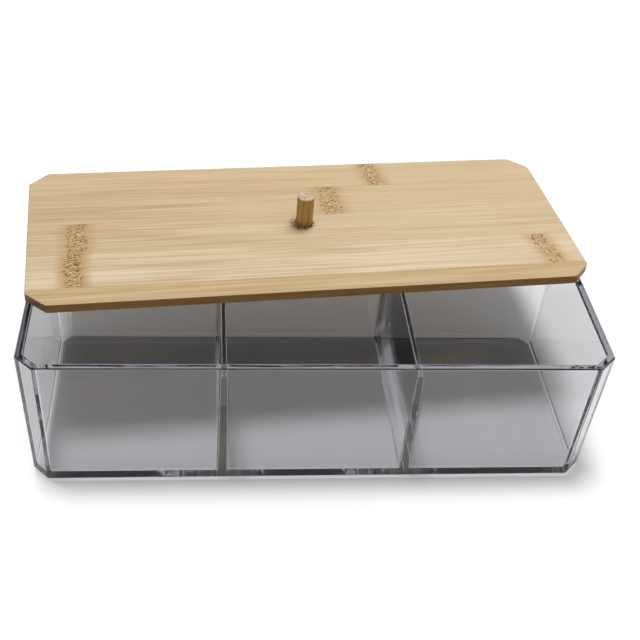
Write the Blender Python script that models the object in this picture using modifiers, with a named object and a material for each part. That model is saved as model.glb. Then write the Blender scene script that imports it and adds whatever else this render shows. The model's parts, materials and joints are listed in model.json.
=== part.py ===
"""Storage box: a clear moulded tray with three compartments and a loose bamboo lid with a dowel knob.

Metres, +Z up. The origin is the centre of the tray's underside, +X runs along the tray and -Y is its front.
The lid lies on the rim as it was left, pushed back and turned a little, so the front of the tray is open.
"""
import math

import bmesh
import bpy
from mathutils import Matrix, Vector

# Tray, moulded in one piece with its two dividers
tray_width = 0.260
tray_depth = 0.105
tray_height = 0.070
tray_corner_leg = 0.0080
wall_thickness = 0.0036
floor_thickness = 0.0030
wall_draft = 0.0018
base_edge_radius = 0.0035
floor_fillet_radius = 0.0030
divider_drop = 0.0062
divider_top_thickness = 0.0022
divider_foot_thickness = 0.0038
divider_fillet_radius = 0.0022
divider_edge_radius = 0.0006
compartments = 3

# Lid, a thin board of bamboo strips glued edge to edge
lid_side_overhang = 0.0027
lid_front_overhang = 0.0012
lid_thickness = 0.0042
lid_corner_leg = 0.0092
lid_left_corner_round = 0.0008
lid_right_corner_round = 0.0055
lid_edge_ease = 0.0004
glue_line = 0.0003
# Where the glue lines lie, as shares of the lid's depth from the front: the front and back strips are trimmed
strip_joint_shares = (0.109, 0.336, 0.567, 0.798)

# Where the lid lies: shares of the tray's size, and how far it is turned
lid_back_share = 0.471
lid_side_share = -0.0096
lid_turn = math.radians(5.9)

# Knob, a length of bamboo dowel, and the wood screw that holds it from below
knob_diameter = 0.0083
knob_height = 0.0156
knob_edge_ease = 0.0005
screw_diameter = 0.0030
screw_head_diameter = 0.0062
screw_head_rim = 0.0003
screw_length = 0.0125
screw_tip_length = 0.0020
recess_width = 0.0009
recess_length = 0.0032
recess_depth = 0.0011

# Fits
seat_gap = 0.0003
hole_clearance = 0.0003
overrun = 0.0050

# How finely round stretches are cut, and the angles between a smooth bend, a soft edge and a sharp one
round_steps = 6
ease_steps = 3
turn_steps = 40
smooth_bend = math.radians(35)
soft_edge = math.radians(60)
# How far a divider's mesh runs into the wall and the floor that it is moulded to
bite_share = 0.3
fillet_sink_share = 0.03
# How much shorter a 45 degree corner gets for each unit that the walls beside it move in
corner_share = 2 - math.sqrt(2)
merge_distance = 0.000001

# Colours: the strips' tones run from front to back, and repeat
clear_plastic = (0.86, 0.87, 0.89)
strip_tones = [
    (0.61, 0.46, 0.29),
    (0.71, 0.58, 0.40),
    (0.64, 0.50, 0.32),
    (0.68, 0.53, 0.35),
    (0.66, 0.51, 0.34),
]
dowel_brown = (0.38, 0.25, 0.12)
screw_steel = (0.62, 0.61, 0.58)

lid_width = tray_width + 2 * lid_side_overhang
lid_depth = tray_depth + 2 * lid_front_overhang
lid_underside = tray_height + seat_gap
lid_top = lid_underside + lid_thickness
divider_top = tray_height - divider_drop


def clear_scene():
    """Remove every object that the file opened with."""
    for item in list(bpy.data.objects):
        bpy.data.objects.remove(item)


def make_collection(name):
    """Make a collection in the scene."""
    collection = bpy.data.collections.new(name)
    bpy.context.scene.collection.children.link(collection)
    return collection


def make_material(name, colour, roughness, metallic=0.0, transmission=0.0):
    """Make a material of one Principled BSDF."""
    material = bpy.data.materials.new(name)
    material.use_nodes = True
    shader = material.node_tree.nodes["Principled BSDF"]
    shader.inputs["Base Color"].default_value = (*colour, 1.0)
    shader.inputs["Roughness"].default_value = roughness
    shader.inputs["Metallic"].default_value = metallic
    shader.inputs["Transmission Weight"].default_value = transmission
    return material


def add_object(name, mesh, collection, material=None):
    """Put a mesh in a collection as an object, with its material."""
    item = bpy.data.objects.new(name, mesh)
    collection.objects.link(item)
    if material:
        mesh.materials.append(material)
    return item


def add_cutter(name, mesh):
    """Put a mesh among the cutters, which aren't rendered."""
    item = add_object(name, mesh, cutters)
    item.hide_render = True
    item.display_type = "WIRE"
    return item


def mesh_from(bm, name):
    """Turn a bmesh into a mesh with its faces pointing out."""
    bmesh.ops.recalc_face_normals(bm, faces=bm.faces)
    mesh = bpy.data.meshes.new(name)
    bm.to_mesh(mesh)
    bm.free()
    return mesh


def block_cutter(name, low, high):
    """Make a box-shaped cutter between two opposite corners."""
    bm = bmesh.new()
    bmesh.ops.create_cube(bm, size=1.0)
    for vert in bm.verts:
        vert.co = [high[axis] if vert.co[axis] > 0 else low[axis] for axis in range(3)]
    return add_cutter(name, mesh_from(bm, name))


def cut(item, cutter, operation="DIFFERENCE"):
    """Add a Boolean modifier."""
    modifier = item.modifiers.new(cutter.name, "BOOLEAN")
    modifier.operation = operation
    modifier.object = cutter
    modifier.solver = "EXACT"


def applied(item):
    """Give back the object's mesh with its modifiers applied."""
    bpy.context.view_layer.update()
    graph = bpy.context.evaluated_depsgraph_get()
    return bpy.data.meshes.new_from_object(item.evaluated_get(graph))


def lean_in(z):
    """How far a drafted wall stands in from the rim line at height z."""
    return wall_draft * (tray_height - z) / tray_height


def drafted_block(name, half_width, half_depth, low, high, leg, edge_radius):
    """Make a block between two heights whose walls lean in downwards.

    The half sizes and the leg are those at the rim's height. The upright edges are cut off at 45 degrees, with
    a leg that shortens downwards so that every wall leans alike, and the lower edges are rounded.
    """
    bm = bmesh.new()
    bmesh.ops.create_cube(bm, size=1.0)
    for vert in bm.verts:
        z = high if vert.co.z > 0 else low
        vert.co.x = math.copysign(half_width - lean_in(z), vert.co.x)
        vert.co.y = math.copysign(half_depth - lean_in(z), vert.co.y)
        vert.co.z = z
    upright = [edge for edge in bm.edges if edge.verts[0].co.z != edge.verts[1].co.z]
    bmesh.ops.bevel(bm, geom=upright, offset=leg, offset_type="OFFSET", segments=1, affect="EDGES")
    for vert in bm.verts:
        lean = lean_in(vert.co.z)
        if abs(vert.co.x) > half_width - lean - merge_distance:
            vert.co.y += math.copysign(corner_share * lean, vert.co.y)
        else:
            vert.co.x += math.copysign(corner_share * lean, vert.co.x)
    lowest = min(vert.co.z for vert in bm.verts)
    lower = [edge for edge in bm.edges if all(vert.co.z < lowest + merge_distance for vert in edge.verts)]
    bmesh.ops.bevel(
        bm,
        geom=lower,
        offset=edge_radius,
        offset_type="OFFSET",
        segments=round_steps,
        profile=0.5,
        affect="EDGES",
    )
    return mesh_from(bm, name)


def arc(centre, radius, start, end, steps):
    """Points of an arc about a centre, from one angle to another, both ends included."""
    angles = [start + (end - start) * step / steps for step in range(steps + 1)]
    return [(centre[0] + radius * math.cos(a), centre[1] + radius * math.sin(a)) for a in angles]


def rounded_corners(points, radii):
    """Round each corner of a closed outline to its own radius.

    The arc touches both sides at radius / tan(half the corner's angle) from the corner, and its centre lies on
    the corner's bisector at radius / sin(half the angle).
    """
    outline = []
    for index, corner in enumerate(points):
        here = Vector(corner)
        before = (Vector(points[index - 1]) - here).normalized()
        after = (Vector(points[(index + 1) % len(points)]) - here).normalized()
        half = before.angle(after) / 2
        reach = radii[index] / math.tan(half)
        centre = here + (before + after).normalized() * (radii[index] / math.sin(half))
        first = here + before * reach - centre
        last = here + after * reach - centre
        start = math.atan2(first.y, first.x)
        sweep = first.angle_signed(last)
        outline += arc(centre, radii[index], start, start - sweep, round_steps)
    return outline


def extruded_outline(name, points, half_length):
    """Make a mesh from a flat outline in X and Y, extruded both ways along Z."""
    curve = bpy.data.curves.new(name + "_outline", "CURVE")
    curve.dimensions = "2D"
    curve.fill_mode = "BOTH"
    curve.extrude = half_length
    spline = curve.splines.new("POLY")
    spline.points.add(len(points) - 1)
    for target, (x, y) in zip(spline.points, points):
        target.co = (x, y, 0.0, 1.0)
    spline.use_cyclic_u = True
    guide = bpy.data.objects.new(name + "_outline", curve)
    cutters.objects.link(guide)
    mesh = applied(guide)
    bpy.data.objects.remove(guide)
    bm = bmesh.new()
    bm.from_mesh(mesh)
    bmesh.ops.remove_doubles(bm, verts=bm.verts, dist=merge_distance)
    bpy.data.meshes.remove(mesh)
    return mesh_from(bm, name)


def turned(name, profile):
    """Make a turned mesh from a profile of radius and height, which runs from the top down its outer side."""
    mesh = bpy.data.meshes.new(name + "_profile")
    edges = [(index, index + 1) for index in range(len(profile) - 1)]
    mesh.from_pydata([(radius, 0.0, height) for radius, height in profile], edges, [])
    guide = bpy.data.objects.new(name + "_profile", mesh)
    cutters.objects.link(guide)
    screw = guide.modifiers.new("turn", "SCREW")
    screw.steps = turn_steps
    screw.render_steps = turn_steps
    screw.use_merge_vertices = True
    screw.merge_threshold = merge_distance
    solid = applied(guide)
    solid.name = name
    bpy.data.objects.remove(guide)
    bpy.data.meshes.remove(mesh)
    solid.shade_smooth()
    solid.set_sharp_from_angle(angle=smooth_bend)
    return solid


def divider_profile():
    """Outline of a divider across the tray: a thin wall that thickens downwards, with a flared foot."""
    radius = divider_fillet_radius
    bottom = floor_thickness * (1 - bite_share)
    arc_low = floor_thickness - fillet_sink_share * radius
    top_half = divider_top_thickness / 2
    foot_half = divider_foot_thickness / 2
    foot = arc((foot_half + radius, arc_low + radius), radius, -math.pi / 2, -math.pi, round_steps)
    ease = divider_edge_radius
    top = arc((top_half - ease, divider_top - ease), ease, 0.0, math.pi / 2, ease_steps)
    right = [(foot_half + radius, bottom), *foot, *top]
    left = [(-x, z) for x, z in reversed(right)]
    return right + left


def make_divider(name, x):
    """Make one divider, with its ends run a little way into the front and back walls."""
    mesh = extruded_outline(name, divider_profile(), tray_depth / 2)
    mesh.transform(Matrix.Rotation(math.pi / 2, 4, "X"))
    inner = tray_depth / 2 - wall_thickness
    bite = wall_thickness * bite_share
    for vert in mesh.vertices:
        vert.co.y = math.copysign(inner - lean_in(vert.co.z) + bite, vert.co.y)
        vert.co.x += x
    return add_cutter(name, mesh)


def divider_places():
    """X of each divider: the compartments are equally wide at the dividers' tops."""
    inside = tray_width - 2 * wall_thickness
    pocket = (inside - (compartments - 1) * divider_top_thickness) / compartments
    pitch = pocket + divider_top_thickness
    return [(index - (compartments - 2) / 2) * pitch for index in range(compartments - 1)]


def make_tray():
    """Make the tray: a drafted block, hollowed, with the dividers joined to it."""
    half_width = tray_width / 2
    half_depth = tray_depth / 2
    body = drafted_block("tray", half_width, half_depth, 0.0, tray_height, tray_corner_leg, base_edge_radius)
    plastic = make_material("clear_plastic", clear_plastic, roughness=0.05, transmission=0.9)
    tray = add_object("tray", body, parts, plastic)
    hollow_leg = tray_corner_leg - wall_thickness * corner_share
    hollow = drafted_block(
        "tray_hollow",
        half_width - wall_thickness,
        half_depth - wall_thickness,
        floor_thickness,
        tray_height + overrun,
        hollow_leg,
        floor_fillet_radius,
    )
    cut(tray, add_cutter("tray_hollow", hollow))
    for index, x in enumerate(divider_places()):
        cut(tray, make_divider(f"divider_{index + 1}", x), "UNION")


def lid_outline():
    """Corner points of the lid's outline and the radius that each is sanded to."""
    x = lid_width / 2
    y = lid_depth / 2
    leg = lid_corner_leg
    left = lid_left_corner_round
    right = lid_right_corner_round
    points = [
        (-x, -y + leg),
        (-x + leg, -y),
        (x - leg, -y),
        (x, -y + leg),
        (x, y - leg),
        (x - leg, y),
        (-x + leg, y),
        (-x, y - leg),
    ]
    return rounded_corners(points, [left, left, right, right, right, right, left, left])


def screw_hole_profile():
    """Profile of the hole for the screw: a countersink at the lid's underside and a plain hole above it."""
    shank = screw_diameter / 2 + hole_clearance
    head = screw_head_diameter / 2 + hole_clearance
    head_height = head - shank
    return [
        (0.0, lid_thickness + overrun),
        (shank, lid_thickness + overrun),
        (shank, screw_head_rim + head_height),
        (head, screw_head_rim),
        (head, -overrun),
        (0.0, -overrun),
    ]


def make_board():
    """Make the whole lid board about its own centre: underside at zero, eased edges and the screw's hole."""
    mesh = extruded_outline("board", lid_outline(), lid_thickness / 2)
    mesh.transform(Matrix.Translation((0.0, 0.0, lid_thickness / 2)))
    board = add_cutter("board", mesh)
    ease = board.modifiers.new("eased_edges", "BEVEL")
    ease.width = lid_edge_ease
    ease.segments = ease_steps
    ease.limit_method = "ANGLE"
    ease.angle_limit = soft_edge
    cut(board, add_cutter("screw_hole", turned("screw_hole", screw_hole_profile())))
    return board


def strip_spans():
    """Y of each strip's front and back edge in the lid, from front to back: the lid's own edges are overrun."""
    half = lid_depth / 2
    joints = [share * lid_depth - half for share in strip_joint_shares]
    fronts = [-half - overrun] + [joint + glue_line / 2 for joint in joints]
    backs = [joint - glue_line / 2 for joint in joints] + [half + overrun]
    return list(zip(fronts, backs))


def make_strips():
    """Cut the board into its strips, each its own piece, a glue line apart."""
    board = make_board()
    side = lid_width / 2 + overrun
    for index, (front, back) in enumerate(strip_spans()):
        name = f"lid_strip_{index + 1}"
        guide = add_cutter(name + "_guide", applied(board))
        space = block_cutter(name + "_space", (-side, front, -overrun), (side, back, lid_thickness + overrun))
        cut(guide, space, "INTERSECT")
        mesh = applied(guide)
        mesh.transform(Matrix.Translation((0.0, 0.0, lid_underside)))
        bpy.data.objects.remove(guide)
        tone = strip_tones[index % len(strip_tones)]
        strip = add_object(name, mesh, parts, make_material(name, tone, roughness=0.55))
        strip.parent = lid_place


def make_knob():
    """Make the knob: a plain dowel with an eased top edge and a pilot hole in its foot."""
    radius = knob_diameter / 2
    pilot = screw_diameter / 2 + hole_clearance
    seat = lid_top + seat_gap
    top = seat + knob_height
    hole_top = lid_underside + screw_length + hole_clearance
    ease = arc((radius - knob_edge_ease, top - knob_edge_ease), knob_edge_ease, math.pi / 2, 0.0, ease_steps)
    profile = [
        (0.0, top),
        *ease,
        (radius, seat),
        (pilot, seat),
        (pilot, hole_top - screw_tip_length),
        (0.0, hole_top),
    ]
    dowel = make_material("dowel", dowel_brown, roughness=0.5)
    knob = add_object("knob", turned("knob", profile), parts, dowel)
    knob.parent = lid_place


def make_screw():
    """Make the knob's screw: a countersunk head with a cross recess, a plain shank and a pointed tip."""
    shank = screw_diameter / 2
    head = screw_head_diameter / 2
    head_top = screw_head_rim + head - shank
    low = lid_underside
    profile = [
        (0.0, low + screw_length),
        (shank, low + screw_length - screw_tip_length),
        (shank, low + head_top),
        (head, low + screw_head_rim),
        (head, low),
        (0.0, low),
    ]
    steel = make_material("screw_steel", screw_steel, roughness=0.35, metallic=1.0)
    screw = add_object("knob_screw", turned("knob_screw", profile), parts, steel)
    screw.parent = lid_place
    long_half = recess_length / 2
    wide_half = recess_width / 2
    for index, (x, y) in enumerate([(long_half, wide_half), (wide_half, long_half)]):
        slot = block_cutter(f"recess_{index + 1}", (-x, -y, low - overrun), (x, y, low + recess_depth))
        slot.parent = lid_place
        cut(screw, slot)


clear_scene()
parts = make_collection("storage_box")
cutters = make_collection("cutters")
lid_place = bpy.data.objects.new("lid_place", None)
parts.objects.link(lid_place)
lid_place.location = (lid_side_share * tray_width, lid_back_share * tray_depth, 0.0)
lid_place.rotation_euler.z = lid_turn
make_tray()
make_strips()
make_knob()
make_screw()
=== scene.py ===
import json
import math

import bpy
import numpy as np
from mathutils import Matrix, Vector

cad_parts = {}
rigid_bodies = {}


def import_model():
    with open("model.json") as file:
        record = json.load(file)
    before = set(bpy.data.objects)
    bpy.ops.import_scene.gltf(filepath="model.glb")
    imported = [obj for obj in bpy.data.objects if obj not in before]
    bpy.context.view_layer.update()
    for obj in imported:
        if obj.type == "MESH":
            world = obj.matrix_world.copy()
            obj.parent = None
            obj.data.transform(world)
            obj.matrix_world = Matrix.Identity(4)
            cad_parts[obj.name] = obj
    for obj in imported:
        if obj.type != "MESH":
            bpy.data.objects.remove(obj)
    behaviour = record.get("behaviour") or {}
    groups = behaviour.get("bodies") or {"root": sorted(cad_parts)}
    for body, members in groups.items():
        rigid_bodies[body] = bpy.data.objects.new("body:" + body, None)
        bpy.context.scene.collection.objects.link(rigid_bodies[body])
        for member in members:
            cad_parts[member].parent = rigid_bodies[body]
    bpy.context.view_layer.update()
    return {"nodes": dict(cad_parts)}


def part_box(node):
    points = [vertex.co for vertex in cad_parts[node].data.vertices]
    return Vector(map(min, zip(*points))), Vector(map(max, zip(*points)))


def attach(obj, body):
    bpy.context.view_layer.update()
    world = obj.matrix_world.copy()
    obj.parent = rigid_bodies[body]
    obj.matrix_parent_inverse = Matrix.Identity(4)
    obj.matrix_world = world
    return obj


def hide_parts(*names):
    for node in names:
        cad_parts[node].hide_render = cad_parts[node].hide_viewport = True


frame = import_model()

# The tray. One injection moulding of clear polystyrene with two dividers in it: drafted walls, corners cut
# at 45 degrees and a rounded base edge. The mould leaves a small round on every edge, and an edge looks dark
# where light runs a long way inside the plastic.
tray_low, tray_high = (np.array(corner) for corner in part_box("tray"))
tray_height = tray_high[2]
tray_half = (tray_high - tray_low)[:2] / 2
tray_corner_leg = 0.0080
tray_corner_round = 0.0010
wall_thickness = 0.0036
wall_draft = 0.0018
floor_thickness = 0.0030
rim_edge_round = 0.0008
base_edge_round = 0.0022
floor_fillet = 0.0030
divider_drop = 0.0062
divider_top_thickness = 0.0022
divider_foot_thickness = 0.0038
divider_edge_round = 0.0006
divider_fillet = 0.0022
divider_end_fillet = 0.0012
divider_end_turn = 80
divider_bite = 0.0010
shading_margin = 0.0001
plastic_index = 1.57
plastic_tint = (0.62, 0.62, 0.67)
plastic_density = 24.0
wall_tint = (0.97, 0.975, 0.99)
# The dividers' darker tint is painted shade; the plastic is the same all through.
divider_painted_shade_tint = (0.60, 0.595, 0.635)
wall_lets_through = (0.89, 0.89, 0.90)
floor_lets_through = (0.73, 0.73, 0.745)
edge_lets_through = (0.10, 0.10, 0.11)
inside_width = 2 * (tray_half[0] - wall_thickness)
pocket = (inside_width - 2 * divider_top_thickness) / 3
divider_x = (pocket + divider_top_thickness) / 2


def octagon(half_width, half_depth, leg):
    """Corners, counterclockwise, of a rectangle whose corners are cut off at 45 degrees by a leg."""
    x, y = half_width, half_depth
    return [(-x, -y + leg), (-x + leg, -y), (x - leg, -y), (x, -y + leg),
            (x, y - leg), (x - leg, y), (-x + leg, y), (-x, y - leg)]


def rounded_path(corners, radii, steps):
    """Points along an open path in two dimensions whose inner corners are arcs.

    An arc starts radius * tan(half the turn) before its corner and ends as far after it. A point a margin
    before and one after each arc keep the shading of the flat stretches flat.
    """
    corners = np.array(corners, float)
    rows = [corners[:1]]
    for before, corner, after, radius in zip(corners, corners[1:], corners[2:], radii):
        ahead = (corner - before) / np.linalg.norm(corner - before)
        away = (after - corner) / np.linalg.norm(after - corner)
        turn = math.atan2(ahead[0] * away[1] - ahead[1] * away[0], ahead @ away)
        start = corner - ahead * radius * math.tan(abs(turn) / 2)
        inward = np.array([-ahead[1], ahead[0]]) * np.sign(turn)
        angles = turn * np.linspace(0, 1, steps + 1)[:, None]
        arc = start + radius * (inward * (1 - np.cos(angles)) + ahead * np.sin(abs(angles)))
        rows += [arc[:1] - ahead * shading_margin, arc, arc[-1:] + away * shading_margin]
    return np.concatenate(rows + [corners[-1:]])


def rings(corners, radii, moved_in, heights, steps):
    """Rows of points round an outline with rounded corners, one row for each height.

    In each row every side of the outline moves in by its own amount, and a corner lies where two moved
    sides cross: at p with n1.p = c1 and n2.p = c2. An arc of the corner's radius joins the two sides, with a
    point a margin before and after it.
    """
    corners = np.array(corners, float)
    radii = np.broadcast_to(np.array(radii, float), len(corners))
    along = np.roll(corners, -1, 0) - corners
    along /= np.linalg.norm(along, axis=1)[:, None]
    out = np.stack([along[:, 1], -along[:, 0]], 1)
    before = np.roll(out, 1, 0)
    reach = (out * corners).sum(1) - np.broadcast_to(moved_in, (len(heights), len(corners)))
    places = np.einsum("nij,rnj->rni", np.linalg.inv(np.stack([before, out], 1)),
                       np.stack([np.roll(reach, 1, 1), reach], 2))
    turn = np.arccos((before * out).sum(1))
    middle = (before + out) / np.linalg.norm(before + out, axis=1)[:, None]
    angles = np.arctan2(before[:, 1], before[:, 0])[:, None] + turn[:, None] * np.linspace(0, 1, steps + 1)
    arc = np.stack([np.cos(angles), np.sin(angles)], 2) - (middle / np.cos(turn / 2)[:, None])[:, None]
    arc = arc * radii[:, None, None]
    first = arc[:, :1] - shading_margin * np.roll(along, 1, 0)[:, None]
    last = arc[:, -1:] + shading_margin * along[:, None]
    flat = places[:, :, None] + np.concatenate([first, arc, last], 1)
    flat = flat.reshape(len(heights), -1, 2)
    level = np.broadcast_to(np.array(heights)[:, None, None], flat.shape[:2] + (1,))
    return np.concatenate([flat, level], 2)


def closed_piece(name, grid):
    """Make an object of a grid of points whose rows are closed rings, with a flat face over each end row."""
    rows, columns = grid.shape[:2]
    index = np.arange(rows * columns).reshape(rows, columns)
    after = np.roll(index, -1, 1)
    quads = np.stack([index[:-1], after[:-1], after[1:], index[1:]], 2).reshape(-1, 4)
    end_faces = [index[0, ::-1].tolist(), index[-1].tolist()]
    mesh = bpy.data.meshes.new(name)
    mesh.from_pydata(grid.reshape(-1, 3).tolist(), [], quads.tolist() + end_faces)
    piece = bpy.data.objects.new(name, mesh)
    bpy.context.collection.objects.link(piece)
    return piece


def cut_or_join(piece, other, operation):
    """Cut or join a piece with another one, which is used up."""
    modifier = piece.modifiers.new(operation, "BOOLEAN")
    modifier.operation = operation
    modifier.object = other
    graph = bpy.context.evaluated_depsgraph_get()
    mesh = bpy.data.meshes.new_from_object(piece.evaluated_get(graph))
    piece.modifiers.clear()
    piece.data = mesh
    bpy.data.objects.remove(other)


def shade(piece, sharp_degrees):
    """Shade a piece smooth, with a crease wherever two faces meet at more than an angle."""
    piece.data.shade_smooth()
    piece.data.set_sharp_from_angle(angle=math.radians(sharp_degrees))


def lean_in(height):
    """How far a drafted wall stands in from the rim at a height."""
    return wall_draft * (tray_height - height) / tray_height


def tray_shell():
    """The tray without its dividers: the wall's profile carried round the octagon.

    The profile runs from under the floor out round the base edge, up the outside, over the rim and down the
    inside to the floor. Its first number is how far the octagon's sides move in.
    """
    inner = wall_thickness + lean_in(floor_thickness)
    middle = inner + 2 * floor_fillet
    corners = [(middle, 0), (lean_in(0), 0), (0, tray_height), (wall_thickness, tray_height),
               (inner, floor_thickness), (middle, floor_thickness)]
    radii = [base_edge_round, rim_edge_round, rim_edge_round, floor_fillet]
    profile = rounded_path(corners, radii, 10)
    outline = octagon(*tray_half, tray_corner_leg)
    return closed_piece("tray_clear", rings(outline, tray_corner_round, profile[:, :1], profile[:, 1], 8))


def tray_divider(x):
    """One divider, from wall to wall: its profile carried from front to back.

    The profile thickens downwards and flares into the floor. Near a wall the whole of it flares by
    r * (1 - cos a) at a distance r * (1 - sin a) from the wall, and it ends inside the wall.
    """
    foot = divider_foot_thickness / 2
    flared = foot + divider_fillet + divider_fillet
    sunk = floor_thickness - 0.02 * divider_fillet
    top = tray_height - divider_drop
    half = [(flared, floor_thickness / 2), (flared, sunk), (foot, sunk),
            (divider_top_thickness / 2, top), (0, top)]
    right = rounded_path(half, [0, divider_fillet, divider_edge_round], 8)
    left = right[:-1] * (-1, 1)
    profile = np.concatenate([left, right[::-1]])
    angles = np.radians(np.linspace(0, divider_end_turn, 9))
    flare = divider_end_fillet * np.array([0, *(1 - np.cos(angles)), 1 - np.cos(angles[-1])])
    gap = divider_end_fillet * np.array([1 + shading_margin / divider_end_fillet, *(1 - np.sin(angles)), 0])
    gap[-1] = -divider_bite
    flare = np.concatenate([flare[::-1], flare])[:, None]
    inside = tray_half[1] - wall_thickness - lean_in(profile[:, 1])
    along = np.concatenate([gap[::-1, None] - inside, inside - gap[:, None]])
    across = x + profile[:, 0] + np.sign(profile[:, 0]) * flare
    level = np.broadcast_to(profile[:, 1], along.shape)
    return closed_piece("divider", np.stack([across, along, level], 2))


def add_node(tree, kind, inputs=None, **properties):
    """Add a shader node: set its properties, and give each input a value or link it to an output."""
    made = tree.nodes.new("ShaderNode" + kind)
    for name, value in properties.items():
        setattr(made, name, value)
    for key, value in (inputs or {}).items():
        if isinstance(value, bpy.types.NodeSocket):
            tree.links.new(value, made.inputs[key])
        else:
            made.inputs[key].default_value = value
    return made


def maths(tree, operation, first, second=0.0, clamp=False):
    """The output of a Math node."""
    return add_node(tree, "Math", {0: first, 1: second}, operation=operation, use_clamp=clamp).outputs[0]


def spread(tree, value, low, high, to_low=0.0, to_high=1.0, smooth=False):
    """A value taken from one range to another, and held within it."""
    kind = "SMOOTHSTEP" if smooth else "LINEAR"
    sockets = {"Value": value, "From Min": low, "From Max": high, "To Min": to_low, "To Max": to_high}
    return add_node(tree, "MapRange", sockets, interpolation_type=kind).outputs[0]


def noise(tree, place, scale, detail=2.0, stretch=(1, 1, 1), offset=(0, 0, 0), distortion=0.0):
    """Noise of so many cells a metre, stretched along the axes, as a value about 0.5."""
    moved = add_node(tree, "Mapping", {"Vector": place, "Scale": stretch, "Location": offset}).outputs[0]
    sockets = {"Vector": moved, "Scale": scale, "Detail": detail, "Distortion": distortion}
    return add_node(tree, "TexNoise", sockets).outputs[0]


def mixed_colour(tree, share, first, second, blend="MIX"):
    """The output of a colour Mix node."""
    made = add_node(tree, "Mix", {"Factor": share}, data_type="RGBA", blend_type=blend)
    colours = [socket for socket in made.inputs if socket.type == "RGBA"]
    for socket, value in zip(colours, (first, second)):
        if isinstance(value, bpy.types.NodeSocket):
            tree.links.new(value, socket)
        else:
            socket.default_value = (*value, 1)
    return [socket for socket in made.outputs if socket.type == "RGBA"][0]


def new_material(name):
    """An empty node material and its tree."""
    material = bpy.data.materials.new(name)
    material.use_nodes = True
    material.node_tree.nodes.clear()
    return material, material.node_tree


def clear_plastic():
    """Clear polystyrene: polished and slightly wavy, with faint haze and dust, and painted shade in the
    dividers.

    Its body absorbs light. A lamp's light passes best through the walls, less well through the floor, and
    hardly at all through an edge, where the surface turns away from it.
    """
    material, tree = new_material("clear_polystyrene")
    place = add_node(tree, "TexCoord").outputs["Object"]
    x, y, z = add_node(tree, "SeparateXYZ", {0: place}).outputs
    from_divider = maths(tree, "ABSOLUTE", maths(tree, "SUBTRACT", maths(tree, "ABSOLUTE", x), divider_x))
    inside = tray_half[1] - wall_thickness
    off_walls = spread(tree, maths(tree, "ABSOLUTE", y), inside - 0.0015, inside, 1.0, 0.0)
    on_divider = spread(tree, from_divider, 0.0025, 0.0032, 1.0, 0.0)
    on_divider = maths(tree, "MULTIPLY", on_divider, off_walls)
    on_divider = maths(tree, "MULTIPLY", on_divider, spread(tree, z, 0.004, 0.006))
    # Painted shade: the dividers get a darker tint than the walls.
    tint = mixed_colour(tree, on_divider, wall_tint, divider_painted_shade_tint)
    waves = noise(tree, place, 45, 1.0)
    smudges = noise(tree, place, 60, 4.0, distortion=1.5)
    specks = noise(tree, place, 1800, 1.0)
    haze = spread(tree, smudges, 0.5, 0.75, 0.012, 0.07, smooth=True)
    dust = spread(tree, specks, 0.70, 0.78, 0.0, 0.12)
    wavy = add_node(tree, "Bump", {"Strength": 0.10, "Distance": 0.0004, "Height": waves}).outputs[0]
    surface = add_node(tree, "BsdfPrincipled", {
        "Base Color": tint,
        "Roughness": maths(tree, "ADD", haze, dust),
        "IOR": plastic_index,
        "Transmission Weight": 1.0,
        "Normal": wavy,
    }).outputs[0]
    entering = maths(tree, "SUBTRACT", 1.0, add_node(tree, "NewGeometry").outputs["Backfacing"])
    turned_away = add_node(tree, "Fresnel", {"IOR": plastic_index}).outputs[0]
    turned_away = spread(tree, maths(tree, "MULTIPLY", turned_away, entering), 0.04, 0.60)
    above_floor = spread(tree, z, 0.0035, 0.0045)
    straight_on = mixed_colour(tree, above_floor, floor_lets_through, wall_lets_through)
    let_through = mixed_colour(tree, turned_away, straight_on, edge_lets_through)
    passing = add_node(tree, "BsdfTransparent", {"Color": let_through}).outputs[0]
    shadow = add_node(tree, "LightPath").outputs["Is Shadow Ray"]
    mixed = add_node(tree, "MixShader", {0: shadow, 1: surface, 2: passing}).outputs[0]
    absorbed = {"Color": (*plastic_tint, 1), "Density": plastic_density}
    body = add_node(tree, "VolumeAbsorption", absorbed).outputs[0]
    add_node(tree, "OutputMaterial", {"Surface": mixed, "Volume": body})
    return material


tray = tray_shell()
for x in (-divider_x, divider_x):
    cut_or_join(tray, tray_divider(x), "UNION")
shade(tray, 18)
tray.data.materials.append(clear_plastic())
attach(tray, "tray")
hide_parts("tray")

# The lid's strips. Five strips of flat-pressed bamboo glued edge to edge into a board, cut at the corners,
# sanded and lightly lacquered. Each has its own tone and grain, and some a band of dark dashes where a node
# of the cane was. The lid lies askew on the rim, and its front and back strips are trimmed.
knob_low, knob_high = (np.array(corner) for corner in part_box("knob"))
knob_radius = (knob_high - knob_low)[0] / 2
lid_centre = (knob_low + knob_high) / 2
lid_clearance = 0.00005
lid_underside = tray_height + lid_clearance
lid_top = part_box("lid_strip_3")[1][2]
lid_thickness = lid_top - lid_underside
lid_turn = math.radians(5.9)
lid_overhang = (0.0027, 0.0012)
lid_half = tray_half + lid_overhang
lid_corner_leg = 0.0092
lid_left_round = 0.0008
lid_right_round = 0.0046
lid_edge_ease = 0.00045
joint_ease = 0.00001
joint_gap = 0.00002
screw_low, screw_high = (np.array(corner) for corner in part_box("knob_screw"))
head_radius = (screw_high - screw_low)[0] / 2
shank_radius = 0.0015
head_rim = 0.0003
hole_clearance = 0.0002
hole_overrun = 0.0020
strip_joint_shares = (0.109, 0.336, 0.567, 0.798)
fibre_sway = 0.0006
mark_raggedness = 0.0045
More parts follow.
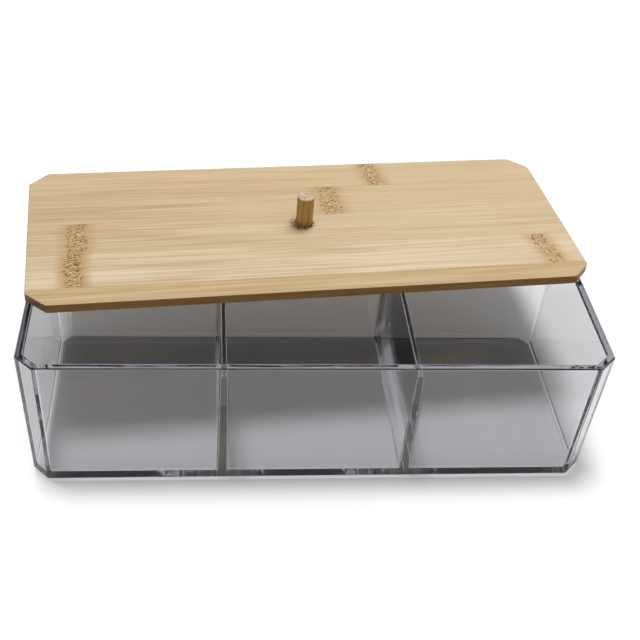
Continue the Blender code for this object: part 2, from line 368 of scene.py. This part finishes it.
# Reach of the dark ring round the knob's foot, partly grime and partly painted contact shade, widest on the
# left.
grime_and_shade_reach_left = 0.0048
grime_and_shade_reach_right = 0.0020
dark_fibre_shares = (0.84, 0.79, 0.70)
light_fibre_shares = (1.11, 1.14, 1.20)
pale_fibre = (0.84, 0.70, 0.48)
halo_brown = (0.55, 0.36, 0.155)
mark_brown = (0.29, 0.125, 0.034)
mark_dark = (0.15, 0.060, 0.018)
grime_and_shade_brown = (0.16, 0.090, 0.027)
# The sides' browns are partly the side grain's own tone and partly painted shade.
upper_side_brown_and_shade = (0.43, 0.32, 0.160)
lower_side_brown_and_shade = (0.47, 0.34, 0.155)
# End grain: the left end is darker by painted shade and the right end lighter by painted light.
lit_right_end_share = 0.22
shaded_left_end_share = 0.07
layer_blur = 0.0002
lacquer_index = 1.45


def to_lid(points):
    """Turn and move points from the lid's own place, about its centre, to where it lies."""
    cosine, sine = math.cos(lid_turn), math.sin(lid_turn)
    turn = np.array([[cosine, sine], [-sine, cosine]])
    return np.concatenate([points[..., :2] @ turn + lid_centre[:2], points[..., 2:]], -1)


def strip_outline(front, back):
    """One strip's share of the lid's octagon: its corners, their rounds, and the eases of its sides."""
    width, depth = lid_half
    bend = depth - lid_corner_leg

    def reach(y):
        return width - max(0.0, abs(y) - bend)

    bends = [(width, y) for y in (-bend, bend) if front < y < back]
    right = [(reach(front), front), *bends, (reach(back), back)]
    left = [(-x, y) for x, y in reversed(right)]
    corners = right + left
    eases, rounds = [], []
    for (x, y), (_, next_y) in zip(corners, corners[1:] + corners[:1]):
        glued = y == next_y and abs(y) < depth
        eases.append(joint_ease if glued else lid_edge_ease)
        free = abs(y) >= bend
        rounds.append((lid_right_round if x > 0 else lid_left_round) if free else joint_ease)
    return corners, rounds, eases


def strip_piece(name, front, back):
    """One strip: rings round its outline, eased at the upper and the lower edge by a quarter round.

    A ring at angle a of the quarter round moves each side in by ease * (1 - cos a), and one last ring a
    margin further in keeps the flat face flat.
    """
    corners, rounds, eases = strip_outline(front, back)
    angles = np.radians(np.linspace(0, 90, 7))
    inset = (1 - np.cos(angles))[:, None] * np.array(eases)
    rise = lid_edge_ease * (1 - np.sin(angles))
    inmost = inset[-1:] + shading_margin
    upper = np.concatenate([inset, inmost])
    upper_z = lid_top - np.concatenate([rise, [0]])
    lower_z = lid_underside + np.concatenate([rise, [0]])
    moved_in = np.concatenate([upper[::-1], np.zeros((2, len(corners))), upper])
    side_z = [lid_underside + 2 * lid_edge_ease, lid_top - 2 * lid_edge_ease]
    heights = np.concatenate([lower_z[::-1], side_z, upper_z])
    return closed_piece(name, to_lid(rings(corners, rounds, moved_in, heights, 6)))


def turned_piece(name, profile, centre, steps=64):
    """A turned piece: the radius and height of a profile, carried round an upright axis."""
    profile = np.array(profile, float)
    angles = np.linspace(0, 2 * np.pi, steps, endpoint=False)
    x = centre[0] + profile[:, :1] * np.cos(angles)
    y = centre[1] + profile[:, :1] * np.sin(angles)
    z = np.broadcast_to(profile[:, 1:], x.shape)
    return closed_piece(name, np.stack([x, y, z], 2))


def about_knob(tree, level, turn=0.0):
    """Object coordinates measured from the knob's axis at a level, and turned as far as turn says."""
    place = add_node(tree, "TexCoord").outputs["Object"]
    sockets = {"Vector": place, "Location": (*lid_centre[:2], level), "Rotation": (0, 0, turn)}
    return add_node(tree, "Mapping", sockets, vector_type="TEXTURE").outputs[0]


def from_axis(tree, x, y):
    """The distance from an upright axis, of which x and y are measured."""
    flat = add_node(tree, "CombineXYZ", {0: x, 1: y}).outputs[0]
    return add_node(tree, "VectorMath", {0: flat}, operation="LENGTH").outputs["Value"]


def bamboo(name, tone, seed, contrast, painted_sheen_right, marks, strip_middle, holds_knob):
    """Flat-pressed bamboo: pale and dark fibres, node marks, and dark sides and end grain, partly painted
    shade.

    The grain is a sum of noises that are drawn out along the strip. A node mark is where the distance from
    its middle line, made ragged by noise, is small: there the lines of equal height of a noise are drawn in
    brown, with dark and pale specks. A mark is given by its place along the lid, half width, strength and
    slant. The strip that holds the knob is darkened round the knob's foot, partly grime and partly painted
    contact shade, widest on the left.
    """
    material, tree = new_material(name)
    local = about_knob(tree, lid_underside, lid_turn)
    turned = {"Vector": add_node(tree, "TexCoord").outputs["Normal"], "Rotation": (0, 0, lid_turn)}
    facing = add_node(tree, "Mapping", turned, vector_type="TEXTURE").outputs[0]
    along, across, level = add_node(tree, "SeparateXYZ", {0: local}).outputs
    end_on, side_on, _ = add_node(tree, "SeparateXYZ", {0: facing}).outputs

    sway = noise(tree, local, 1, 1.0, (18, 50, 0), (seed, 0, 0))
    sway = spread(tree, sway, 0.0, 1.0, -fibre_sway, fibre_sway)
    wavy = add_node(tree, "CombineXYZ", {0: along, 1: maths(tree, "ADD", across, sway), 2: level}).outputs[0]
    bands = noise(tree, wavy, 1, 1.0, (11, 150, 60), (seed, seed, 0))
    streaks = noise(tree, wavy, 1, 2.0, (9, 520, 330), (seed, 2 * seed, 0))
    lines = noise(tree, wavy, 1, 1.0, (20, 1250, 800), (seed, 3 * seed, 0))
    fibres = noise(tree, wavy, 1, 2.0, (60, 3000, 2400), (seed, 4 * seed, 0))
    grain = maths(tree, "MULTIPLY", bands, 0.16)
    for part, weight in ((streaks, 0.27), (lines, 0.37), (fibres, 0.20)):
        grain = maths(tree, "ADD", grain, maths(tree, "MULTIPLY", part, weight))
    fading = spread(tree, along, -lid_half[0], lid_half[0], 1.25 * contrast, 0.65 * contrast)
    patches = spread(tree, noise(tree, local, 1, 1.0, (9, 75, 0), (7 * seed, seed, 0)), 0.3, 0.7, 0.35, 1.75)
    fading = maths(tree, "MULTIPLY", fading, patches)
    # Paler toward the right: a painted sheen.
    base = spread(tree, along, -0.10, 0.05, 0.5, 0.5 + painted_sheen_right)
    grain = maths(tree, "ADD", maths(tree, "MULTIPLY", maths(tree, "SUBTRACT", grain, 0.5), fading), base)
    dark = tuple(share * value for share, value in zip(dark_fibre_shares, tone))
    light = tuple(share * value for share, value in zip(light_fibre_shares, tone))
    colour = mixed_colour(tree, spread(tree, grain, 0.40, 0.60), dark, light)
    pores = noise(tree, wavy, 1, 1.0, (26, 1700, 1200), (5 * seed, seed, 0))
    pores = maths(tree, "MULTIPLY", spread(tree, pores, 0.62, 0.72, 0.0, 0.30), fading)
    colour = mixed_colour(tree, pores, colour, halo_brown)
    gleams = noise(tree, wavy, 1, 1.0, (14, 1000, 700), (6 * seed, seed, 0))
    gleams = maths(tree, "MULTIPLY", spread(tree, gleams, 0.60, 0.70, 0.0, 0.50), fading)
    colour = mixed_colour(tree, gleams, colour, pale_fibre)

    height = maths(tree, "MULTIPLY", fibres, 0.5)
    for at, half_width, strength, slant in marks:
        ragged = noise(tree, local, 1, 3.0, (0, 420, 0), (at, seed, 0))
        ragged = spread(tree, ragged, 0.0, 1.0, -mark_raggedness, mark_raggedness)
        lean = maths(tree, "MULTIPLY", maths(tree, "SUBTRACT", across, strip_middle), slant)
        middle_line = maths(tree, "ADD", ragged, lean)
        offset = maths(tree, "SUBTRACT", maths(tree, "SUBTRACT", along, at), middle_line)
        distance = maths(tree, "DIVIDE", maths(tree, "ABSOLUTE", offset), half_width)
        core = spread(tree, distance, 0.7, 1.15, strength, 0.0, smooth=True)
        halo = spread(tree, distance, 0.8, 2.4, 0.62 * strength, 0.0, smooth=True)
        contours = noise(tree, local, 1, 1.0, (330, 260, 0), (at * 100, seed, 0), distortion=0.7)
        ripples = spread(tree, maths(tree, "SINE", maths(tree, "MULTIPLY", contours, 36.0)), 0.1, 0.8)
        dashes = maths(tree, "MULTIPLY", maths(tree, "MULTIPLY", core, ripples), 0.90)
        blots = noise(tree, local, 1, 2.0, (420, 800, 0), (seed, at * 90, 0))
        blots = maths(tree, "MULTIPLY", core, spread(tree, blots, 0.56, 0.66))
        specks = noise(tree, local, 1, 1.0, (520, 1200, 0), (at * 80, 2 * seed, 0))
        specks = maths(tree, "MULTIPLY", core, spread(tree, specks, 0.38, 0.45, 0.50, 0.0))
        colour = mixed_colour(tree, halo, colour, halo_brown)
        colour = mixed_colour(tree, dashes, colour, mark_brown)
        colour = mixed_colour(tree, maths(tree, "MULTIPLY", blots, 0.70), colour, mark_dark)
        colour = mixed_colour(tree, specks, colour, pale_fibre)
        height = maths(tree, "SUBTRACT", height, maths(tree, "MULTIPLY", blots, 0.12))

    if holds_knob:
        # Darker round the knob's foot: partly grime, partly painted contact shade, reaching furthest on the
        # left.
        reach = spread(tree, along, -knob_radius, knob_radius, grime_and_shade_reach_left, grime_and_shade_reach_right)
        past_knob = maths(tree, "SUBTRACT", from_axis(tree, along, across), knob_radius)
        grime_and_shade = spread(tree, maths(tree, "DIVIDE", past_knob, reach), 0.0, 1.0, 0.8, 0.0, smooth=True)
        upper_half = spread(tree, level, 0.5 * lid_thickness, 0.6 * lid_thickness)
        grime_and_shade = maths(tree, "MULTIPLY", grime_and_shade, upper_half)
        grime_and_shade_specks = spread(tree, noise(tree, local, 1, 2.0, (750, 750, 0)), 0.38, 0.60, 0.1, 1.5)
        grime_and_shade = maths(tree, "MULTIPLY", grime_and_shade, grime_and_shade_specks, clamp=True)
        colour = mixed_colour(tree, grime_and_shade, colour, grime_and_shade_brown)

    dots = noise(tree, local, 1, 2.0, (300, 2600, 2600), (seed, 0, seed))
    dots = spread(tree, dots, 0.52, 0.60, 0.0, 0.5)
    # Painted shade on the left end grain and painted light on the right end grain.
    lit_right_end = tuple(lit_right_end_share * value for value in tone)
    shaded_left_end = tuple(shaded_left_end_share * value for value in tone)
    ends = mixed_colour(tree, spread(tree, end_on, -0.5, 0.5), shaded_left_end, lit_right_end)
    ends = mixed_colour(tree, dots, ends, mark_dark)
    end_share = spread(tree, maths(tree, "ABSOLUTE", end_on), 0.5, 0.8)
    side_share = spread(tree, maths(tree, "ABSOLUTE", side_on), 0.5, 0.8)
    middle = lid_thickness / 2
    layer = spread(tree, level, middle - layer_blur, middle + layer_blur)
    # The sides are darkened partly by their browner grain and partly by painted shade.
    sides = mixed_colour(tree, layer, lower_side_brown_and_shade, upper_side_brown_and_shade)
    sides = mixed_colour(tree, 1.0, colour, sides, "MULTIPLY")
    colour = mixed_colour(tree, side_share, colour, sides)
    colour = mixed_colour(tree, end_share, colour, ends)

    bump = add_node(tree, "Bump", {"Strength": 0.5, "Distance": 0.00012, "Height": height}).outputs[0]
    surface = add_node(tree, "BsdfPrincipled", {
        "Base Color": colour,
        "Roughness": spread(tree, streaks, 0.3, 0.7, 0.40, 0.52),
        "IOR": lacquer_index,
        "Specular IOR Level": 0.3,
        "Normal": bump,
    }).outputs[0]
    add_node(tree, "OutputMaterial", {"Surface": surface})
    return material


joints = [share * 2 * lid_half[1] - lid_half[1] for share in strip_joint_shares]
fronts = [-lid_half[1]] + [joint + joint_gap / 2 for joint in joints]
backs = [joint - joint_gap / 2 for joint in joints] + [lid_half[1]]
# Each strip's slot, tone, seed, strength of grain, paling toward the right by a painted sheen, and node
# marks.
strip_looks = [
    ("bamboo_front", (0.620, 0.447, 0.248), 3.7, 0.9, 0.02, []),
    ("bamboo_light", (0.730, 0.580, 0.382), 11.3, 1.1, 0.01,
     [(-0.1115, 0.0042, 1.45, 0.0), (0.1165, 0.0042, 1.0, -0.18)]),
    ("bamboo_middle", (0.668, 0.509, 0.312), 23.9, 0.8, 0.04, [(-0.1100, 0.0046, 1.05, 0.0)]),
    ("bamboo_back", (0.663, 0.506, 0.304), 37.1, 0.6, 0.04, [(0.0165, 0.0050, 0.95, 0.0)]),
    ("bamboo_back", (0.660, 0.500, 0.297), 51.7, 0.6, 0.04, [(0.0435, 0.0044, 1.0, -0.10)]),
]
for number, (front, back, look) in enumerate(zip(fronts, backs, strip_looks), 1):
    slot, tone, seed, contrast, painted_sheen_right, marks = look
    strip = strip_piece(f"bamboo_strip_{number}", front, back)
    if number == 3:
        hole = turned_piece("screw_hole", [
            (head_radius + hole_clearance, lid_underside - hole_overrun),
            (head_radius + hole_clearance, screw_low[2] + head_rim),
            (shank_radius + hole_clearance, screw_low[2] + head_rim + head_radius - shank_radius),
            (shank_radius + hole_clearance, lid_top + hole_overrun),
        ], lid_centre)
        cut_or_join(strip, hole, "DIFFERENCE")
    shade(strip, 30)
    material = bamboo(f"bamboo_strip_{number}", tone, seed, contrast, painted_sheen_right, marks,
                      strip_middle=(front + back) / 2, holds_knob=number == 3)
    strip.data.materials.append(material)
    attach(strip, "lid")
    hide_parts(f"lid_strip_{number}")

# The knob. A plain length of bamboo dowel, sawn off and eased at its top edge, which stands on the middle
# strip. Its side is darker than the board, its sawn top shows pale end grain, and its foot is drilled for
# the screw.
knob_ease = 0.0005
drilled_ease = 0.0001
drill_point = 0.0020
pilot_radius = shank_radius + hole_clearance
pilot_end = screw_high[2] + hole_clearance
# Height up the dowel of its darkened foot, partly grime and partly painted contact shade.
grime_and_shade_height = 0.0046
dowel_dark = (0.33, 0.175, 0.040)
dowel_light = (0.54, 0.33, 0.095)
sawn_pale = (0.69, 0.53, 0.36)
sawn_dark = (0.28, 0.17, 0.09)
knob_profile = rounded_path([
    (0.1 * pilot_radius, pilot_end),
    (pilot_radius, pilot_end - drill_point),
    (pilot_radius, lid_top),
    (knob_radius, lid_top),
    (knob_radius, knob_high[2]),
    (0.5 * knob_radius, knob_high[2]),
], [drilled_ease, drilled_ease, drilled_ease, knob_ease], 6)


def dowel():
    """Bamboo dowel: upright fibres on its side, and pale end grain with short dark lines on its sawn top."""
    material, tree = new_material("dowel_bamboo")
    local = about_knob(tree, lid_top)
    level = add_node(tree, "SeparateXYZ", {0: local}).outputs[2]
    up = add_node(tree, "SeparateXYZ", {0: add_node(tree, "TexCoord").outputs["Normal"]}).outputs[2]
    streaks = noise(tree, local, 1, 3.0, (900, 900, 40))
    fibres = noise(tree, local, 1, 2.0, (2600, 2600, 120))
    grain = maths(tree, "ADD", maths(tree, "MULTIPLY", streaks, 0.65), maths(tree, "MULTIPLY", fibres, 0.35))
    grain = spread(tree, grain, 0.35, 0.65)
    side = mixed_colour(tree, grain, dowel_dark, dowel_light)
    rays = noise(tree, local, 1, 2.0, (900, 260, 500), distortion=0.6)
    rays = spread(tree, rays, 0.48, 0.60, 0.0, 0.75)
    top = mixed_colour(tree, rays, sawn_pale, sawn_dark)
    # The side darkens toward its foot: partly grime, partly painted contact shade where it stands on the
    # lid.
    low = spread(tree, level, 0.0, grime_and_shade_height, 1.0, 0.0, smooth=True)
    grime_and_shade_specks = spread(tree, noise(tree, local, 1, 2.0, (700, 700, 700)), 0.38, 0.60, 0.2, 1.4)
    side = mixed_colour(tree, maths(tree, "MULTIPLY", low, grime_and_shade_specks, clamp=True), side, grime_and_shade_brown)
    colour = mixed_colour(tree, spread(tree, up, 0.55, 0.8), side, top)
    bump = add_node(tree, "Bump", {"Strength": 0.5, "Distance": 0.00015, "Height": grain}).outputs[0]
    surface = add_node(tree, "BsdfPrincipled", {
        "Base Color": colour,
        "Roughness": spread(tree, streaks, 0.3, 0.7, 0.42, 0.58),
        "IOR": lacquer_index,
        "Normal": bump,
    }).outputs[0]
    add_node(tree, "OutputMaterial", {"Surface": surface})
    return material


knob = turned_piece("dowel_knob", knob_profile, lid_centre)
shade(knob, 40)
knob.data.materials.append(dowel())
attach(knob, "lid")
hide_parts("knob")

# The knob's screw. A countersunk steel wood screw, zinc plated, driven up through the middle strip into the
# dowel. Its head with the cross recess lies in the lid's underside. The CAD solid has its shape and gets the
# finish here.
fresh_zinc = (0.66, 0.66, 0.64)
dull_zinc = (0.42, 0.41, 0.38)
zinc_spot = (0.24, 0.21, 0.17)


def zinc_steel():
    """Zinc-plated steel: turning lines round the axis, dull patches and small darker spots."""
    material, tree = new_material("zinc_steel")
    local = about_knob(tree, screw_low[2])
    x, y, z = add_node(tree, "SeparateXYZ", {0: local}).outputs
    round_axis = add_node(tree, "CombineXYZ", {0: from_axis(tree, x, y), 1: z}).outputs[0]
    turning = noise(tree, round_axis, 9000, 1.0)
    patches = noise(tree, local, 700, 3.0)
    spots = noise(tree, local, 2600, 2.0)
    colour = mixed_colour(tree, spread(tree, patches, 0.38, 0.66), fresh_zinc, dull_zinc)
    colour = mixed_colour(tree, spread(tree, spots, 0.64, 0.74, 0.0, 0.8), colour, zinc_spot)
    bump = add_node(tree, "Bump", {"Strength": 0.4, "Distance": 0.00004, "Height": turning}).outputs[0]
    surface = add_node(tree, "BsdfPrincipled", {
        "Base Color": colour,
        "Metallic": 1.0,
        "Roughness": spread(tree, patches, 0.3, 0.7, 0.24, 0.48),
        "Normal": bump,
    }).outputs[0]
    add_node(tree, "OutputMaterial", {"Surface": surface})
    return material


screw = frame["nodes"]["knob_screw"]
screw.material_slots[0].material = zinc_steel()

# The stage. A plain floor, white to the camera and pale grey through the plastic, which keeps the shadow.
# As painted light it glows white to rays that ran along inside the moulding, so edges that look into it are
# lit.
# The world is white to the camera and has a dim ceiling to mirror. One soft lamp lights the box, and a far
# one lights the floor.
floor_half = 6.0
floor_level = -0.0004
bounced_grey = (0.35, 0.35, 0.35)
seen_white = (0.96, 0.96, 0.96)
grey_through_plastic = (0.80, 0.80, 0.80)
edge_bounces = 4.5
painted_edge_glow = 0.7
world_light = 0.42
ceiling_light = 0.08
ceiling_starts, ceiling_full = 0.2, 0.4
top_light_width = 0.8
top_light_radiance = 7.9
floor_light_width = 15
floor_light_strength = 2.34
floor_mesh = bpy.data.meshes.new("floor")
floor_corners = [(-floor_half, -floor_half, floor_level), (floor_half, -floor_half, floor_level),
                 (floor_half, floor_half, floor_level), (-floor_half, floor_half, floor_level)]
floor_mesh.from_pydata(floor_corners, [], [(0, 1, 2, 3)])
floor = bpy.data.objects.new("floor", floor_mesh)
bpy.context.collection.objects.link(floor)
material, tree = new_material("white_floor")
path = add_node(tree, "LightPath").outputs
seen = maths(tree, "MAXIMUM", path["Is Camera Ray"], path["Is Glossy Ray"])
colour = mixed_colour(tree, seen, bounced_grey, seen_white)
colour = mixed_colour(tree, path["Is Transmission Ray"], colour, grey_through_plastic)
lit = add_node(tree, "BsdfDiffuse", {"Color": colour}).outputs[0]
white = add_node(tree, "Emission", {"Color": (1, 1, 1, 1), "Strength": 1.0}).outputs[0]
# Painted light: the floor glows white to rays that ran along inside the plastic.
reflected_inside = maths(tree, "GREATER_THAN", path["Glossy Depth"], edge_bounces)
reflected_inside = maths(tree, "MULTIPLY", reflected_inside, path["Is Transmission Ray"])
glow = maths(tree, "MULTIPLY", reflected_inside, painted_edge_glow)
surface = add_node(tree, "MixShader", {0: glow, 1: lit, 2: white}).outputs[0]
add_node(tree, "OutputMaterial", {"Surface": surface})
floor_mesh.materials.append(material)

world = bpy.data.worlds.new("studio")
world.use_nodes = True
tree = world.node_tree
tree.nodes.clear()
path = add_node(tree, "LightPath").outputs
height = add_node(tree, "SeparateXYZ", {0: add_node(tree, "TexCoord").outputs["Generated"]}).outputs[2]
room = spread(tree, height, ceiling_starts, ceiling_full, 1.0, ceiling_light, smooth=True)
mirrored = maths(tree, "MAXIMUM", path["Is Glossy Ray"], path["Is Transmission Ray"])
strength = add_node(tree, "Mix", {0: mirrored, 2: world_light, 3: room}).outputs[0]
strength = maths(tree, "MAXIMUM", strength, path["Is Camera Ray"])
background = add_node(tree, "Background", {"Color": (1, 1, 1, 1), "Strength": strength}).outputs[0]
add_node(tree, "OutputWorld", {"Surface": background})
bpy.context.scene.world = world


def hang_lamp(data, azimuth, elevation, distance=0.0):
    """Hang a lamp in a direction from the tray, and turn it to the tray.

    The azimuth runs from the back toward the right and the elevation from level, both in degrees.
    """
    azimuth, elevation = math.radians(azimuth), math.radians(elevation)
    level_part = math.cos(elevation)
    way = Vector((math.sin(azimuth) * level_part, math.cos(azimuth) * level_part, math.sin(elevation)))
    lamp = bpy.data.objects.new(data.name, data)
    lamp.location = way * distance
    lamp.rotation_euler = (-way).to_track_quat("-Z", "Y").to_euler()
    bpy.context.collection.objects.link(lamp)
    return lamp


floor_only = bpy.data.collections.new("floor_only")
floor_only.objects.link(floor)
all_but_floor = bpy.data.collections.new("all_but_floor")
for piece in bpy.context.scene.objects:
    if piece.type == "MESH" and piece is not floor:
        all_but_floor.objects.link(piece)
top_data = bpy.data.lights.new("top_light", "AREA")
top_data.size = top_light_width
top_data.energy = top_light_radiance * math.pi * top_light_width * top_light_width
top_light = hang_lamp(top_data, 35, 70, 1.6)
top_light.light_linking.receiver_collection = all_but_floor
top_light.visible_glossy = False
top_light.visible_transmission = False
far_data = bpy.data.lights.new("floor_light", "SUN")
far_data.angle = math.radians(floor_light_width)
far_data.energy = floor_light_strength
floor_light = hang_lamp(far_data, -48, 82)
floor_light.light_linking.receiver_collection = floor_only

# The camera. It stands where the photograph was taken from, in front of the box and above it, and a little
# to the left. Its place, turns and lens were fitted to the corners of the tray, the lid and the knob.
camera_place = (-0.050765, -0.379190, 0.368959)
yaw, pitch, roll = -0.141, 0.689, 0.096
camera_data = bpy.data.cameras.new("camera")
camera_data.sensor_width = 36.0
camera_data.lens = 59.16
camera_data.clip_start = 0.01
camera = bpy.data.objects.new("camera", camera_data)
bpy.context.collection.objects.link(camera)
right = np.array([math.cos(yaw), math.sin(yaw), 0.0])
level_way = np.array([-math.sin(yaw), math.cos(yaw), 0.0])
up_way = np.array([0.0, 0.0, 1.0])
forward = math.cos(pitch) * level_way - math.sin(pitch) * up_way
up = math.sin(pitch) * level_way + math.cos(pitch) * up_way
right_rolled = math.cos(roll) * right + math.sin(roll) * up
up_rolled = -math.sin(roll) * right + math.cos(roll) * up
turned_to = Matrix(np.stack([right_rolled, up_rolled, -forward], 1).tolist()).to_4x4()
camera.matrix_world = Matrix.Translation(camera_place) @ turned_to
bpy.context.scene.camera = camera

# The picture: a plain view transform, and enough bounces for light to pass the walls, the dividers and the
# floor, and to run along inside them.
bpy.context.scene.view_settings.view_transform = "Standard"
bpy.context.scene.cycles.max_bounces = 24
bpy.context.scene.cycles.transmission_bounces = 24
bpy.context.scene.cycles.glossy_bounces = 12
